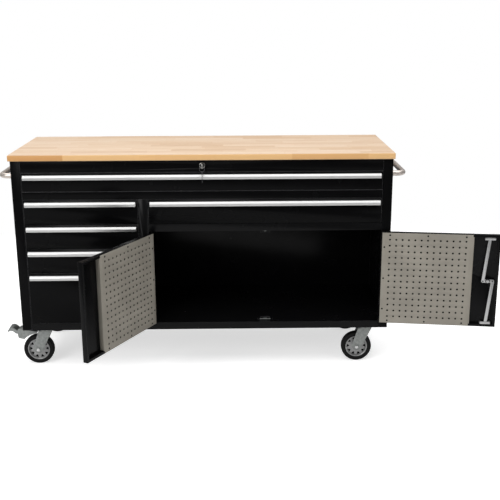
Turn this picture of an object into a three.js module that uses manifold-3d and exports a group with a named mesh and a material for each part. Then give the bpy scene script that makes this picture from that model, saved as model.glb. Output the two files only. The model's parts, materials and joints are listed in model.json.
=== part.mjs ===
// A rolling workbench: butcher-block top, six drawers, a two-door cupboard with pegboards, four casters.
// Millimetres, +X right, +Y back, +Z up. The body's front face lies on y = 0 and the floor on z = 0
// while it is built; the last lines move the origin to the floor under the middle of the bounding box.
import * as THREE from 'three';
import { mergeVertices } from 'three/addons/utils/BufferGeometryUtils.js';
import Module from 'manifold-3d';

const wasm = await Module();
wasm.setup();

// Driving dimensions
const GAP = 0.3; // between pieces that touch
const SHEET = 1.5; // sheet steel
const TOP = { width: 1524, depth: 520, thick: 24, height: 900, overhang: 12 };
const BODY = { half: 756, depth: 500, low: 167, post: 38, fold: 25 };
const BODY_HIGH = TOP.height - TOP.thick - GAP;
const INNER = BODY.half - SHEET - GAP; // half the room between the side panels
const BAY = BODY.half - BODY.post; // half the front opening between the corner posts
const backFace = BODY.depth - 2 * SHEET - 2 * GAP; // inner face of the back panel
const PARTITION = { left: -259, right: -221, middle: -240 };
const ROWS = { header: 828, divider: [719, 751], ceiling: [586, 616.5], sill: 197 };
const DRAWER = { depth: 430, gap: 2, slide: 12.4, pan: 12, boxLift: 12, boxDrop: 15 };
const PULL = { reach: 20, drop: 19, below: 7, inset: 8, wall: 1.8 };
const SLIDE = { high: 35, from: 26, to: 450, uprights: [[60, 90], [370, 400]] };
const DOOR = { width: 467, low: 199, high: 583, thick: 20, lip: 10, axisY: -3.5, clear: 1.5 };
const KNUCKLE = { radius: 3.1, high: 30, from: [270, 512], leaf: 16, tail: 20 };
const HINGE_X = { left: PARTITION.right, right: BAY + 1 };
const OPEN = { left: THREE.MathUtils.degToRad(117.3), right: THREE.MathUtils.degToRad(171.9) };
const PEG = {
  columns: 13, rows: 14, pitch: 25, radius: 3.6, sides: 5, firstU: 33.5, from: 3, to: 364, thick: 1.2,
};
const LATCH = { u: 427, z: 391, throw: 19, guide: 176, guideHalf: 21, end: 189, slot: 26 };
const ROD = { wide: 12, y: 14.9, thick: 2.5 };
const CAM = { y: 12, thick: 2.5, pin: 2.5, boss: 7, high: 6.5 };
const KEEPER = { half: 20, wing: 32, y: 25, deep: 21, high: 13, thick: 1.6 };
const LOCK = { z: 854, housing: 9.5, bezel: 12, bore: 4.8 };
const HANDLE = { z: 807, reach: 56, radius: 11, from: 60, to: 440, bend: 42 };
const CASTER = { x: 673, y: 64, trail: 35, wheel: 63.5, width: 32, rim: 46, plate: 4, axle: 6 };

const WINDOW = { count: 10, from: 28, to: 39, narrow: 2.5, wide: 7 };

const paint = (color, roughness, metalness) => ({ color, roughness, metalness });
const BLACK = paint(0x17181a, 0.3, 0.1);
const GREY = paint(0xa39d94, 0.45, 0.2);
const WOOD = paint(0xdcb48c, 0.5, 0);
const ALUMINIUM = paint(0xd3d5d6, 0.3, 0.9);
const STEEL = paint(0xb4b7ba, 0.35, 0.95);
const RUBBER = paint(0x202021, 0.8, 0);

// Solids

function toSolid(geometry) {
  const bare = geometry.clone();
  bare.deleteAttribute('normal');
  bare.deleteAttribute('uv');
  const merged = mergeVertices(bare, 1e-4);
  return new wasm.Manifold(new wasm.Mesh({
    numProp: 3,
    vertProperties: new Float32Array(merged.attributes.position.array),
    triVerts: new Uint32Array(merged.index.array),
  }));
}

function toGeometry(solid) {
  const mesh = solid.getMesh();
  const geometry = new THREE.BufferGeometry();
  geometry.setAttribute('position', new THREE.BufferAttribute(mesh.vertProperties, 3));
  geometry.setIndex(new THREE.BufferAttribute(mesh.triVerts, 1));
  const flat = geometry.toNonIndexed();
  flat.computeVertexNormals();
  return flat;
}

const sorted = (a, b) => [Math.min(a, b), Math.max(a, b)];
const join = (solids) => solids.reduce((whole, next) => whole.add(next));
const cut = (solid, tools) => tools.reduce((left, tool) => left.subtract(tool), solid);

function block([x0, x1], [y0, y1], [z0, z1]) {
  const geometry = new THREE.BoxGeometry(x1 - x0, y1 - y0, z1 - z0);
  geometry.translate((x0 + x1) / 2, (y0 + y1) / 2, (z0 + z1) / 2);
  return toSolid(geometry);
}

// A closed outline pushed along an axis. Outline points are [y, z] for X, [z, x] for Y and [x, y] for Z.
function prism(outline, axis, span) {
  return pushed(new THREE.Shape(outline.map(([a, b]) => new THREE.Vector2(a, b))), axis, span);
}

const turnTo = {
  X: new THREE.Matrix4().set(0, 0, 1, 0, 1, 0, 0, 0, 0, 1, 0, 0, 0, 0, 0, 1),
  Y: new THREE.Matrix4().set(0, 1, 0, 0, 0, 0, 1, 0, 1, 0, 0, 0, 0, 0, 0, 1),
  Z: new THREE.Matrix4(),
};

function pushed(shape, axis, [from, to]) {
  const options = { depth: to - from, bevelEnabled: false, curveSegments: 4 };
  const geometry = new THREE.ExtrudeGeometry(shape, options);
  geometry.translate(0, 0, from);
  geometry.applyMatrix4(turnTo[axis]);
  return toSolid(geometry);
}

function rod(radius, [x, y, z], axis, [from, to], segments = 16) {
  const geometry = new THREE.CylinderGeometry(radius, radius, to - from, segments);
  geometry.translate(0, (from + to) / 2, 0);
  if (axis === 'X') geometry.rotateZ(-Math.PI / 2);
  if (axis === 'Z') geometry.rotateX(Math.PI / 2);
  geometry.translate(x, y, z);
  return toSolid(geometry);
}

// A profile of [radius, y] points turned about the Y axis, with a flat side straight down.
function turned(profile, segments) {
  const points = profile.map(([r, y]) => new THREE.Vector2(r, y));
  return toSolid(new THREE.LatheGeometry(points, segments, Math.PI / segments));
}

const bench = new THREE.Group();

function place(name, solid, look, parent = bench) {
  const mesh = new THREE.Mesh(toGeometry(solid), new THREE.MeshStandardMaterial(look));
  mesh.name = name;
  parent.add(mesh);
  return mesh;
}

// Cabinet shell

function sidePanel(side) {
  const x = (inset) => side * (BODY.half - inset);
  const outline = [
    [x(0), 0], [x(0), BODY.depth], [x(20), BODY.depth], [x(20), BODY.depth - SHEET],
    [x(SHEET), BODY.depth - SHEET], [x(SHEET), SHEET], [x(BODY.post - SHEET), SHEET],
    [x(BODY.post - SHEET), BODY.fold], [x(BODY.post), BODY.fold], [x(BODY.post), 0],
  ];
  return prism(outline, 'Z', [BODY.low + 2, BODY_HIGH]);
}

// Hinge knuckles that stay on the frame, each pair just outside a knuckle of the door.
function frameKnuckles(hingeX, side) {
  return KNUCKLE.from.map((z) => {
    const above = z + KNUCKLE.high;
    const spans = [[z - KNUCKLE.tail, z - GAP], [above + GAP, above + KNUCKLE.tail]];
    return join(spans.map((span) => join([
      rod(KNUCKLE.radius, [hingeX, DOOR.axisY, 0], 'Z', span, 12),
      block(sorted(hingeX, hingeX - side * KNUCKLE.leaf), [-1.2, 0.5], span),
      block(sorted(hingeX, hingeX - side * 2), [DOOR.axisY, 0], span),
    ])));
  });
}

function backPanel() {
  const y = BODY.depth - SHEET - GAP;
  return block([-INNER, INNER], [y - SHEET, y], [BODY.low + 2 + GAP, BODY_HIGH]);
}

function basePanel() {
  const plate = block([-BODY.half, BODY.half], [0, BODY.depth], [BODY.low, BODY.low + 2 - GAP]);
  const front = block([-BAY + GAP, BAY - GAP], [0, SHEET], [BODY.low + 1, ROWS.sill]);
  const level = [ROWS.sill - SHEET, ROWS.sill];
  const fold = block([-BAY + GAP, BAY - GAP], [0, BODY.fold - 1], level);
  const floor = block([PARTITION.middle + SHEET, BAY - GAP], [BODY.fold - 2, backFace], level);
  const wing = block([BAY - GAP - 1, INNER], [BODY.fold + GAP, backFace], level);
  const around = block(
    [cupboardMiddle - KEEPER.wing - GAP, cupboardMiddle + KEEPER.wing + GAP],
    [KEEPER.y - GAP, KEEPER.y + KEEPER.deep + GAP],
    [level[0] - 1, level[1] + 1],
  );
  const slot = rodSlot([ROWS.sill - 10, ROWS.sill + 10]);
  return cut(join([plate, front, fold, floor, wing]), [slot, around]);
}

const cupboardMiddle = (HINGE_X.left + HINGE_X.right) / 2;

const rodSlot = (span) => block(
  [HINGE_X.right - LATCH.u - LATCH.slot / 2, HINGE_X.right - LATCH.u + LATCH.slot / 2],
  [ROD.y - 2, ROD.y + ROD.thick + 2],
  span,
);

function channel(xs, [low, high]) {
  const outline = [
    [0, low], [BODY.fold, low], [BODY.fold, low + SHEET], [SHEET, low + SHEET],
    [SHEET, high - SHEET], [BODY.fold, high - SHEET], [BODY.fold, high], [0, high],
  ];
  return prism(outline, 'X', xs);
}

const acrossBay = [-BAY + GAP, BAY - GAP];

function frontHeader() {
  const body = channel(acrossBay, [ROWS.header, BODY_HIGH]);
  return cut(body, [rod(LOCK.housing + GAP, [0, 0, LOCK.z], 'Y', [-5, 5], 20)]);
}

function centrePartition() {
  const { left, right, middle } = PARTITION;
  const span = [ROWS.sill + GAP, ROWS.divider[0] - GAP];
  const post = [
    [left, 0], [right, 0], [right, BODY.fold], [right - SHEET, BODY.fold], [right - SHEET, SHEET],
    [middle + SHEET / 2, SHEET], [middle + SHEET / 2, backFace],
    [middle - SHEET / 2, backFace], [middle - SHEET / 2, SHEET],
    [left + SHEET, SHEET], [left + SHEET, BODY.fold], [left, BODY.fold],
  ];
  return join([prism(post, 'Z', span), ...frameKnuckles(HINGE_X.left, 1)]);
}

function cupboardCeiling() {
  const [low, high] = ROWS.ceiling;
  const from = PARTITION.right + GAP;
  const rail = channel([from, BAY - GAP], [low, high]);
  const sheet = block([from, BAY - GAP], [BODY.fold - 1, backFace], [low, low + SHEET]);
  const wings = [
    block([PARTITION.middle + SHEET / 2 + GAP, from + 1], [BODY.fold + GAP, backFace], [low, low + SHEET]),
    block([BAY - GAP - 1, INNER], [BODY.fold + GAP, backFace], [low, low + SHEET]),
  ];
  return cut(join([rail, sheet, ...wings]), [rodSlot([low - 5, low + 5])]);
}

// Drawers

const fronts = {
  top_drawer: { x: [-BAY, BAY], z: [ROWS.divider[1], ROWS.header] },
  left_drawer_1: { x: [-BAY, PARTITION.left], z: [617.5, ROWS.divider[0]] },
  left_drawer_2: { x: [-BAY, PARTITION.left], z: [516, 617.5] },
  left_drawer_3: { x: [-BAY, PARTITION.left], z: [414.5, 516] },
  left_drawer_4: { x: [-BAY, PARTITION.left], z: [ROWS.sill, 414.5] },
  right_drawer: { x: [PARTITION.right, BAY], z: [ROWS.ceiling[1], ROWS.divider[0]] },
};

const inside = ([low, high], margin) => [low + margin, high - margin];

// Where a drawer's box lies behind its front: clear of the slides at both sides.
function boxOf({ x, z }) {
  const [x0, x1] = inside(x, DRAWER.slide + 1.6);
  return { x: [x0, x1], z: [z[0] + DRAWER.boxLift, z[1] - DRAWER.boxDrop] };
}

function drawer(front) {
  const x = inside(front.x, DRAWER.gap);
  const z = inside(front.z, DRAWER.gap / 1.6);
  const pan = cut(block(x, [0, DRAWER.pan], z), [
    block(inside(x, SHEET), [SHEET, DRAWER.pan + 1], inside(z, SHEET)),
  ]);
  const box = boxOf(front);
  const tray = cut(block(box.x, [1, DRAWER.depth], box.z), [
    block(inside(box.x, SHEET), [SHEET, DRAWER.depth - SHEET], [box.z[0] + SHEET, box.z[1] + 1]),
  ]);
  return join([pan, tray]);
}

// A bent strip along the drawer's width: back leg on the front, web, and a lip that the fingers hook.
function pull(front) {
  const top = front.z[1] - DRAWER.gap / 1.6 - PULL.below;
  const { reach, drop, wall } = PULL;
  const outline = [
    [-GAP, top], [-reach + 5, top], [-reach + 1.4, top - 1.6], [-reach, top - 5.5], [-reach, top - drop],
    [-reach + wall, top - drop], [-reach + wall, top - 6], [-reach + 5.5, top - wall],
    [-GAP - wall, top - wall], [-GAP - wall, top - drop], [-GAP, top - drop],
  ];
  return prism(outline, 'X', inside(front.x, DRAWER.gap + PULL.inset));
}

// Slides for the drawers beside one panel, held by two uprights that stand on the panel.
function slideRack(panelX, slideX, names) {
  const xs = sorted(slideX, slideX + Math.sign(slideX - panelX) * DRAWER.slide);
  const spans = names.map((name) => {
    const [low, high] = boxOf(fronts[name]).z;
    const middle = Math.min((low + high) / 2, low + 40);
    return [middle - SLIDE.high / 2, middle + SLIDE.high / 2];
  });
  const rails = spans.map((span) => block(xs, [SLIDE.from, SLIDE.to], span));
  const low = Math.min(...spans.flat());
  const high = Math.max(...spans.flat());
  const uprights = SLIDE.uprights.map((ys) => block(sorted(panelX, slideX), ys, [low, high]));
  return join([...rails, ...uprights]);
}

const leftBank = ['left_drawer_1', 'left_drawer_2', 'left_drawer_3', 'left_drawer_4'];
const slideClear = 1.2; // from the edge of a drawer's bay to its slide
const slideAt = BAY - slideClear;

// Doors. A door is built closed, with its hinge axis at the origin, u away from the hinge and y inward.

function doorGroup(name) {
  const side = name === 'left' ? 1 : -1;
  const group = new THREE.Group();
  group.position.set(HINGE_X[name], DOOR.axisY, 0);
  group.rotation.z = -side * OPEN[name];
  bench.add(group);
  return { side, group };
}

const across = (side, [u0, u1]) => (side > 0 ? [u0, u1] : [-u1, -u0]);
const deep = ([y0, y1]) => [y0 - DOOR.axisY, y1 - DOOR.axisY];
const slab = (side, us, ys, zs) => block(across(side, us), deep(ys), zs);

function doorShell(side) {
  const us = [DOOR.clear, DOOR.width];
  const zs = [DOOR.low, DOOR.high];
  const opening = [[us[0] + DOOR.lip, us[1] - DOOR.lip], [zs[0] + DOOR.lip, zs[1] - DOOR.lip]];
  const pan = cut(slab(side, us, [0, DOOR.thick], zs), [
    slab(side, inside(us, SHEET), [SHEET, DOOR.thick - SHEET], inside(zs, SHEET)),
    slab(side, opening[0], [SHEET, DOOR.thick + 1], opening[1]),
  ]);
  const knuckles = KNUCKLE.from.map((z) => join([
    rod(KNUCKLE.radius, [0, 0, 0], 'Z', [z, z + KNUCKLE.high], 12),
    slab(side, [DOOR.clear, DOOR.clear + KNUCKLE.leaf], [-1.2, 0.5], [z, z + KNUCKLE.high]),
    slab(side, [GAP, DOOR.clear + 1], [DOOR.axisY, -GAP], [z, z + KNUCKLE.high]),
  ]));
  return join([pan, ...knuckles]);
}

function pegboard(side) {
  const us = across(side, [PEG.from, PEG.to]);
  const shape = new THREE.Shape([
    new THREE.Vector2(DOOR.low + 1, us[0]), new THREE.Vector2(DOOR.high - 1, us[0]),
    new THREE.Vector2(DOOR.high - 1, us[1]), new THREE.Vector2(DOOR.low + 1, us[1]),
  ]);
  const middle = (DOOR.low + DOOR.high) / 2;
  for (let column = 0; column < PEG.columns; column += 1) {
    for (let row = 0; row < PEG.rows; row += 1) {
      const z = middle + (row - (PEG.rows - 1) / 2) * PEG.pitch;
      shape.holes.push(pegHole(z, side * (PEG.firstU + column * PEG.pitch), PEG.radius));
    }
  }
  return pushed(shape, 'Y', deep([DOOR.thick + GAP, DOOR.thick + GAP + PEG.thick]));
}

// Pegboard holes have few sides here, with the area of the round ones.
function pegHole(a, b, radius) {
  const path = new THREE.Path();
  for (let i = 0; i < PEG.sides; i += 1) {
    const angle = (i + 0.5) * 2 * Math.PI / PEG.sides;
    path[i ? 'lineTo' : 'moveTo'](a + radius * Math.cos(angle), b + radius * Math.sin(angle));
  }
  return path;
}

// The latch in the right door: a cam on the handle's spindle pushes one rod up and one down.

const latchSide = -1;
const latchX = latchSide * LATCH.u;
const depthOf = (y) => y - DOOR.axisY;

function latchHoles() {
  const slots = [[DOOR.high - 5, DOOR.high + 5], [DOOR.low - 5, DOOR.low + 5]].map((zs) => slab(
    latchSide,
    [LATCH.u - LATCH.slot / 2, LATCH.u + LATCH.slot / 2],
    [ROD.y - 2, ROD.y + ROD.thick + 1.2],
    zs,
  ));
  return [...slots, rod(4.5, [latchX, 0, LATCH.z], 'Y', [depthOf(-5), depthOf(5)])];
}

function latchCam() {
  const face = depthOf(CAM.y + CAM.thick);
  const ys = [depthOf(CAM.y), face];
  const plate = block([latchX - LATCH.throw, latchX + LATCH.throw], ys, [LATCH.z - 7, LATCH.z + 7]);
  const boss = rod(CAM.boss, [latchX, 0, LATCH.z], 'Y', [ys[0], ys[0] + CAM.high]);
  const ends = [-1, 1].map((end) => {
    const at = [latchX + end * LATCH.throw, 0, LATCH.z];
    const pin = rod(CAM.pin, at, 'Y', [face - 0.5, ys[0] + CAM.high - 0.1], 12);
    return join([rod(CAM.boss + 1, at, 'Y', ys), pin]);
  });
  return join([plate, boss, ...ends]);
}

// end is +1 for the upper rod, which starts at the pin nearer the hinge, and -1 for the lower one.
function latchRod(end) {
  const length = Math.hypot(LATCH.throw, LATCH.end);
  const ys = [depthOf(ROD.y), depthOf(ROD.y + ROD.thick)];
  const half = ROD.wide / 2;
  const strip = join([
    block([-half, half], ys, [0, length]),
    rod(half, [0, 0, 0], 'Y', ys, 12),
  ]);
  const holed = strip.subtract(rod(CAM.pin + GAP + 0.1, [0, 0, 0], 'Y', [ys[0] - 1, ys[1] + 1], 12));
  const tilt = THREE.MathUtils.radToDeg(Math.atan2(LATCH.throw, LATCH.end));
  const turnedUp = holed.rotate([0, -tilt + (end > 0 ? 0 : 180), 0]);
  return turnedUp.translate([latchX + end * LATCH.throw, 0, LATCH.z]);
}

function rodGuide(end) {
  const z = LATCH.z + end * LATCH.guide;
  const zs = [z - 5, z + 5];
  const us = [LATCH.u - LATCH.guideHalf, LATCH.u + LATCH.guideHalf];
  const legs = [[us[0], us[0] + 4], [us[1] - 4, us[1]]];
  const bridge = slab(latchSide, us, [ROD.y - 2, ROD.y + ROD.thick + 2], zs);
  const feet = legs.map((leg) => slab(latchSide, leg, [SHEET + GAP, ROD.y - 1.9], zs));
  const slot = slab(
    latchSide,
    inside(us, LATCH.guideHalf - LATCH.slot / 2),
    [ROD.y - 0.5, ROD.y + ROD.thick + 0.5],
    [z - 6, z + 6],
  );
  return cut(join([bridge, ...feet]), [slot]);
}

function turnHandle() {
  const rose = rod(15, [latchX, 0, LATCH.z], 'Y', [depthOf(-6), depthOf(-GAP)], 20);
  const spindle = rod(4, [latchX, 0, LATCH.z], 'Y', [depthOf(-6), depthOf(12 - GAP)]);
  const grip = block([latchX - 6, latchX + 6], [depthOf(-24), depthOf(-15)], [LATCH.z - 35, LATCH.z + 35]);
  const neck = rod(6, [latchX, 0, LATCH.z], 'Y', [depthOf(-20), depthOf(-5)]);
  return join([rose, spindle, grip, neck]);
}

// Stop for both doors behind the middle of the opening; end is +1 at the ceiling and -1 at the floor,
// where its foot is let into a cut-out of the cupboard floor.
function keeper(end) {
  const { half, wing, y, deep, high, thick } = KEEPER;
  const face = end > 0 ? ROWS.ceiling[0] - GAP : ROWS.sill + GAP;
  const root = end > 0 ? face : ROWS.sill - SHEET;
  return join([
    block([cupboardMiddle - half, cupboardMiddle + half], [y, y + thick], sorted(root, face - end * high)),
    block([cupboardMiddle - wing, cupboardMiddle + wing], [y, y + deep], sorted(root, face - end * thick)),
  ]);
}

// Lock and keys on the header

function drawerLock() {
  const housing = rod(LOCK.housing, [0, 0, LOCK.z], 'Y', [-GAP - 1, 24], 20);
  const bezel = rod(LOCK.bezel, [0, 0, LOCK.z], 'Y', [-3, -GAP], 20);
  return cut(join([housing, bezel]), [rod(LOCK.bore, [0, 0, LOCK.z], 'Y', [-5, 20], 16)]);
}

const KEY = { bow: 11, bowY: -23, holeY: -30, hole: 2.6, thick: 2, ring: 10, wire: 0.9 };

function key() {
  const blade = block([-KEY.thick / 2, KEY.thick / 2], [KEY.bowY, 17], [LOCK.z - 4, LOCK.z + 4]);
  const bow = rod(KEY.bow, [0, KEY.bowY, LOCK.z], 'X', [-KEY.thick / 2, KEY.thick / 2], 20);
  return cut(join([blade, bow]), [rod(KEY.hole, [0, KEY.holeY, LOCK.z], 'X', [-5, 5], 12)]);
}

// The ring hangs from the key's bow and carries a spare key.
function keyRing() {
  const z = LOCK.z - KEY.ring;
  const ring = new THREE.TorusGeometry(KEY.ring, KEY.wire, 6, 18);
  ring.rotateX(Math.PI / 2);
  ring.translate(0, KEY.holeY, z);
  const low = z - KEY.ring;
  const bow = rod(9, [0, KEY.holeY, low - 7], 'X', [-1, 1], 16);
  const blade = block([-1, 1], [KEY.holeY - 4, KEY.holeY + 4], [low - 45, low - 12]);
  return join([toSolid(ring), bow, blade]);
}

// Push handles

function pushHandle(side) {
  const out = side * (BODY.half + HANDLE.reach);
  const foot = side * (BODY.half + 2);
  const at = (x, y) => new THREE.Vector3(x, y, HANDLE.z);
  const bend = side * HANDLE.bend;
  const path = new THREE.CurvePath();
  path.add(new THREE.LineCurve3(at(foot, HANDLE.from), at(out - bend, HANDLE.from)));
  path.add(new THREE.QuadraticBezierCurve3(
    at(out - bend, HANDLE.from), at(out, HANDLE.from), at(out, HANDLE.from + HANDLE.bend)));
  path.add(new THREE.LineCurve3(at(out, HANDLE.from + HANDLE.bend), at(out, HANDLE.to - HANDLE.bend)));
  path.add(new THREE.QuadraticBezierCurve3(
    at(out, HANDLE.to - HANDLE.bend), at(out, HANDLE.to), at(out - bend, HANDLE.to)));
  path.add(new THREE.LineCurve3(at(out - bend, HANDLE.to), at(foot, HANDLE.to)));
  const round = new THREE.Shape();
  round.absarc(0, 0, HANDLE.radius, 0, 2 * Math.PI);
  const tube = toSolid(new THREE.ExtrudeGeometry(round, { steps: 24, extrudePath: path, curveSegments: 6 }));
  const flanges = [HANDLE.from, HANDLE.to].map((y) => {
    const span = sorted(side * (BODY.half + GAP), side * (BODY.half + 6));
    return rod(22, [0, y, HANDLE.z], 'X', span, 20);
  });
  return join([tube, ...flanges]);
}

// Casters. Each is built round its swivel axis, with the wheel trailing toward -X as it stands.

const axleAt = [-CASTER.trail, 0, CASTER.wheel];

function casterPlate() {
  const high = BODY.low - GAP;
  const plate = block([-52, 52], [-42, 42], [high - CASTER.plate, high]);
  return join([plate, rod(26, [0, 0, 0], 'Z', [high - CASTER.plate - 6, high - 1], 20)]);
}

function casterFork() {
  const top = BODY.low - GAP - CASTER.plate - 6 - GAP;
  const cap = rod(30, [0, 0, 0], 'Z', [top - 8, top], 20);
  const inner = CASTER.width / 2 + 3;
  const crown = block([-30, 26], [-inner - 3, inner + 3], [top - 11, top - 7]);
  const foot = [[6, 23], [-7, 19], [-14, 9], [-14, -9], [-7, -19], [6, -23]];
  const cheek = [
    [top - 8, -30], [top - 8, 26], ...foot.map(([z, x]) => [CASTER.wheel + z, axleAt[0] + x]),
  ];
  const cheeks = [[-inner - 3, -inner], [inner, inner + 3]].map((ys) => prism(cheek, 'Y', ys));
  const axle = rod(CASTER.axle, axleAt, 'Y', [-inner - 7, inner + 7], 12);
  return join([cap, crown, ...cheeks, axle]);
}

function casterRim() {
  const { rim, width, axle } = CASTER;
  const bore = axle + GAP;
  const profile = [
    [bore, -width / 2 - 1], [15, -width / 2 - 1], [15, -5], [rim - 5, -5], [rim - 5, -width / 2 + 2],
    [rim - GAP, -width / 2 + 2], [rim - GAP, width / 2 - 2], [rim - 5, width / 2 - 2], [rim - 5, 5], [15, 5],
    [15, width / 2 + 1], [bore, width / 2 + 1], [bore, -width / 2 - 1],
  ];
  const windows = [];
  for (let i = 0; i < WINDOW.count; i += 1) {
    const { from, to, narrow, wide } = WINDOW;
    const wedge = prism([[from, -narrow], [to, -wide], [to, wide], [from, narrow]], 'Y', [-10, 10]);
    windows.push(wedge.rotate([0, i * 360 / WINDOW.count, 0]));
  }
  return cut(turned(profile, 24), windows).translate(axleAt);
}

// The tread's flat sides touch the true wheel radius.
function casterTyre() {
  const { rim, width, wheel } = CASTER;
  const sides = 28;
  const tread = wheel / Math.cos(Math.PI / sides);
  const inner = rim / Math.cos(Math.PI / sides) + GAP;
  const half = width / 2;
  const profile = [
    [inner, -half + 2], [tread - 8, -half], [tread, -half + 8],
    [tread, half - 8], [tread - 8, half], [inner, half - 2], [inner, -half + 2],
  ];
  return turned(profile, sides).translate(axleAt);
}

// A total-lock lever over the wheel: a stirrup round the fork and a toe plate beyond it.
function brakePedal() {
  const outer = CASTER.width / 2 + 6 + GAP;
  const housing = [[132, -34], [145, -34], [151, -60], [157, -100], [157, -112], [152, -118]];
  const toe = [
    [162, -128], [166, -138], [164, -149], [150, -158], [146, -155], [151, -146], [149, -136], [139, -124],
  ];
  const outline = [...housing, ...toe, [138, -117], [119, -114], [112, -84], [112, -70]];
  const body = prism(outline, 'Y', [-outer - 2, outer + 2]);
  const room = block([-70, 0], [-outer, outer], [90, 143]);
  const overWheel = rod(CASTER.wheel + 11, axleAt, 'Y', [-outer - 3, outer + 3], 28);
  const inner = block([-112, -68], [-outer + 2, outer - 2], [100, 141]);
  return cut(body, [room, overWheel, inner]);
}

function caster(name, x, y, braked) {
  const group = new THREE.Group();
  group.position.set(x, y, 0);
  bench.add(group);
  place(`${name}_caster_plate`, casterPlate(), STEEL, group);
  place(`${name}_caster_fork`, casterFork(), STEEL, group);
  place(`${name}_wheel_rim`, casterRim(), STEEL, group);
  place(`${name}_wheel_tyre`, casterTyre(), RUBBER, group);
  if (braked) place(`${name}_brake_pedal`, brakePedal(), STEEL, group);
}

// The assembly

function worktop() {
  const { width, depth, thick, height, overhang } = TOP;
  return block([-width / 2, width / 2], [-overhang, depth - overhang], [height - thick, height]);
}

place('worktop', worktop(), WOOD);
place('left_side_panel', sidePanel(-1), BLACK);
place('right_side_panel', join([sidePanel(1), ...frameKnuckles(HINGE_X.right, -1)]), BLACK);
place('back_panel', backPanel(), BLACK);
place('base_panel', basePanel(), BLACK);
place('front_header', frontHeader(), BLACK);
place('drawer_divider', channel(acrossBay, ROWS.divider), BLACK);
place('centre_partition', centrePartition(), BLACK);
place('cupboard_ceiling', cupboardCeiling(), BLACK);
place('left_push_handle', pushHandle(-1), STEEL);
place('right_push_handle', pushHandle(1), STEEL);

for (const [name, front] of Object.entries(fronts)) {
  place(name, drawer(front), BLACK);
  place(`${name}_pull`, pull(front), ALUMINIUM);
}

place('left_side_slides', slideRack(-INNER, -slideAt, ['top_drawer', ...leftBank]), STEEL);
place('right_side_slides', slideRack(INNER, slideAt, ['top_drawer', 'right_drawer']), STEEL);
const webSkin = SHEET / 2 + GAP;
const leftOfWeb = slideRack(PARTITION.middle - webSkin, PARTITION.left - slideClear, leftBank);
const rightOfWeb = slideRack(PARTITION.middle + webSkin, PARTITION.right + slideClear, ['right_drawer']);
place('partition_left_slides', leftOfWeb, STEEL);
place('partition_right_slides', rightOfWeb, STEEL);

const leftDoor = doorGroup('left');
place('left_door', doorShell(leftDoor.side), BLACK, leftDoor.group);
place('left_pegboard', pegboard(leftDoor.side), GREY, leftDoor.group);

const rightDoor = doorGroup('right');
place('right_door', cut(doorShell(rightDoor.side), latchHoles()), BLACK, rightDoor.group);
place('right_pegboard', pegboard(rightDoor.side), GREY, rightDoor.group);
place('latch_turn_handle', turnHandle(), STEEL, rightDoor.group);
place('latch_cam', latchCam(), STEEL, rightDoor.group);
place('latch_rod_upper', latchRod(1), STEEL, rightDoor.group);
place('latch_rod_lower', latchRod(-1), STEEL, rightDoor.group);
place('rod_guide_upper', rodGuide(1), STEEL, rightDoor.group);
place('rod_guide_lower', rodGuide(-1), STEEL, rightDoor.group);
place('door_keeper_upper', keeper(1), STEEL);
place('door_keeper_lower', keeper(-1), STEEL);

place('drawer_lock', drawerLock(), STEEL);
place('key', key(), STEEL);
place('key_ring', keyRing(), STEEL);

const rearY = BODY.depth - CASTER.y;
caster('front_left', -CASTER.x, CASTER.y, true);
caster('rear_left', -CASTER.x, rearY, true);
caster('front_right', CASTER.x, CASTER.y, false);
caster('rear_right', CASTER.x, rearY, false);

bench.updateMatrixWorld(true);
const bounds = new THREE.Box3().setFromObject(bench, true);
const middle = bounds.getCenter(new THREE.Vector3());
bench.position.set(-middle.x, -middle.y, -bounds.min.z);
bench.updateMatrixWorld(true);

export default bench;
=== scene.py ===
"""Looks of a rolling tool workbench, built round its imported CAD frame.

Sizes are in millimetres until a mesh is made.
"""

import json
import math

import bmesh
import bpy
from mathutils import Matrix, Vector

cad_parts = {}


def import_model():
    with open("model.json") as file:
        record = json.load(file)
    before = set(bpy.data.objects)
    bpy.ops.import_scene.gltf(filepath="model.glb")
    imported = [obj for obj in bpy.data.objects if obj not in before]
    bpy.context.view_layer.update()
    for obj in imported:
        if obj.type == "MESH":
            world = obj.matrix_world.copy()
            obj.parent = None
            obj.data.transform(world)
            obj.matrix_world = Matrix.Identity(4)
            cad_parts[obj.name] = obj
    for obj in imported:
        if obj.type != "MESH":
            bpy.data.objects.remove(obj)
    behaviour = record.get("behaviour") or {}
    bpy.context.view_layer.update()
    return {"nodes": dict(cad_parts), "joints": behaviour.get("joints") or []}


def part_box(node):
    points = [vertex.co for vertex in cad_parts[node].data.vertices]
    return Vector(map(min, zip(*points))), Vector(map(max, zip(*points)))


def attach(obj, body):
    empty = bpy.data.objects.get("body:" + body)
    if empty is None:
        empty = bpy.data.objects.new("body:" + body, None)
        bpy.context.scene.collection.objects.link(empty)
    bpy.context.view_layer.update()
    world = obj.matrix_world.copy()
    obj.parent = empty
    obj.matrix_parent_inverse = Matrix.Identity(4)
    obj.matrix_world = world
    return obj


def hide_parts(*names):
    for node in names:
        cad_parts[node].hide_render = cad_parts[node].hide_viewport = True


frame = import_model()

MM = 0.001
joints = {joint["name"]: joint for joint in frame["joints"]}

# The frame's own places: the middle of the worktop, the body's front plane and the floor.
top_low, top_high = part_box("worktop")
base_low, base_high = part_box("base_panel")
ORIGIN = Vector(((top_low.x + top_high.x) / 2, base_low.y, 0))
BODY_FRAME = Matrix.Translation(ORIGIN)


def local_box(node, place=BODY_FRAME):
    """A CAD node's box in millimetres from the origin of place."""
    low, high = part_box(node)
    origin = place.translation
    return (low - origin) / MM, (high - origin) / MM


# Meshes


def merged(parts):
    """One bmesh holding all of the parts."""
    whole = bmesh.new()
    for part in parts:
        mesh = bpy.data.meshes.new("part")
        part.to_mesh(mesh)
        part.free()
        whole.from_mesh(mesh)
        bpy.data.meshes.remove(mesh)
    return whole


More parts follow.
